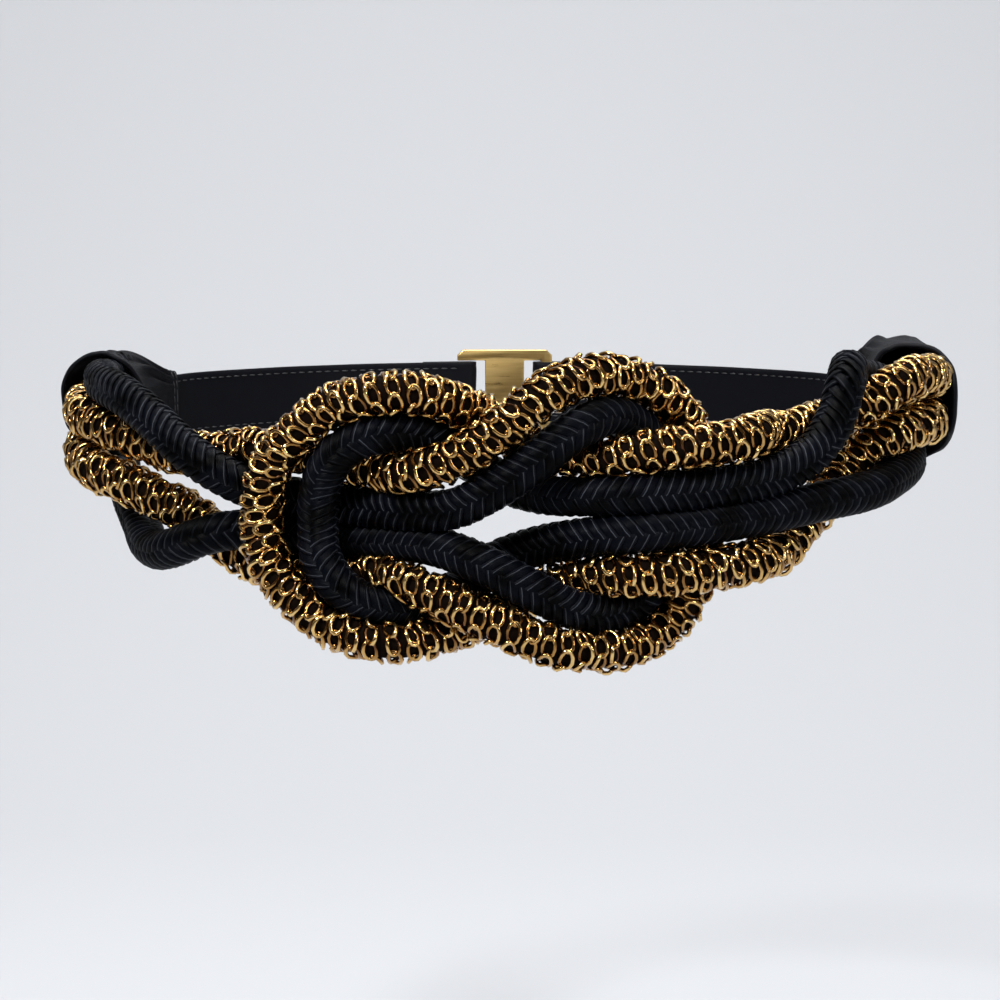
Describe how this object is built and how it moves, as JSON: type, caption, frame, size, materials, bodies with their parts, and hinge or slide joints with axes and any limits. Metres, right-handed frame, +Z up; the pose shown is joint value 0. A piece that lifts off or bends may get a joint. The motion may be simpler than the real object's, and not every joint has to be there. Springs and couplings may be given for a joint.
{
  "type": "rope belt",
  "caption": "Waist belt of thick black braided cord and cord wrapped in gold curb chain, tied in a flat reef knot at the front and closed by satin straps and a hook at the back.",
  "frame": {"origin": "centre of the waist that the belt closes round, level with the belt line at its sides, just before the end caps", "axes": "+X to the right as seen from the front, +Y to the back, where the hook is, +Z up as worn"},
  "size_m": [0.303, 0.2238, 0.0986],
  "materials": {
    "gold_chain": "polished yellow gold plating on curb links, over black cord",
    "black_cord": "satin filament braid, blue-black",
    "black_satin": "gathered satin cloth, soft sheen",
    "hook_brass": "plain polished plate"
  },
  "bodies": {
    "root": {"bight_a_gold_rope": "gold_chain", "bight_a_black_rope": "black_cord", "bight_b_gold_rope": "gold_chain", "bight_b_black_rope": "black_cord", "end_cap_left": "black_satin", "end_cap_right": "black_satin", "back_strap_left": "black_satin", "back_strap_right": "black_satin", "hook": "hook_brass"}
  },
  "joints": []
}
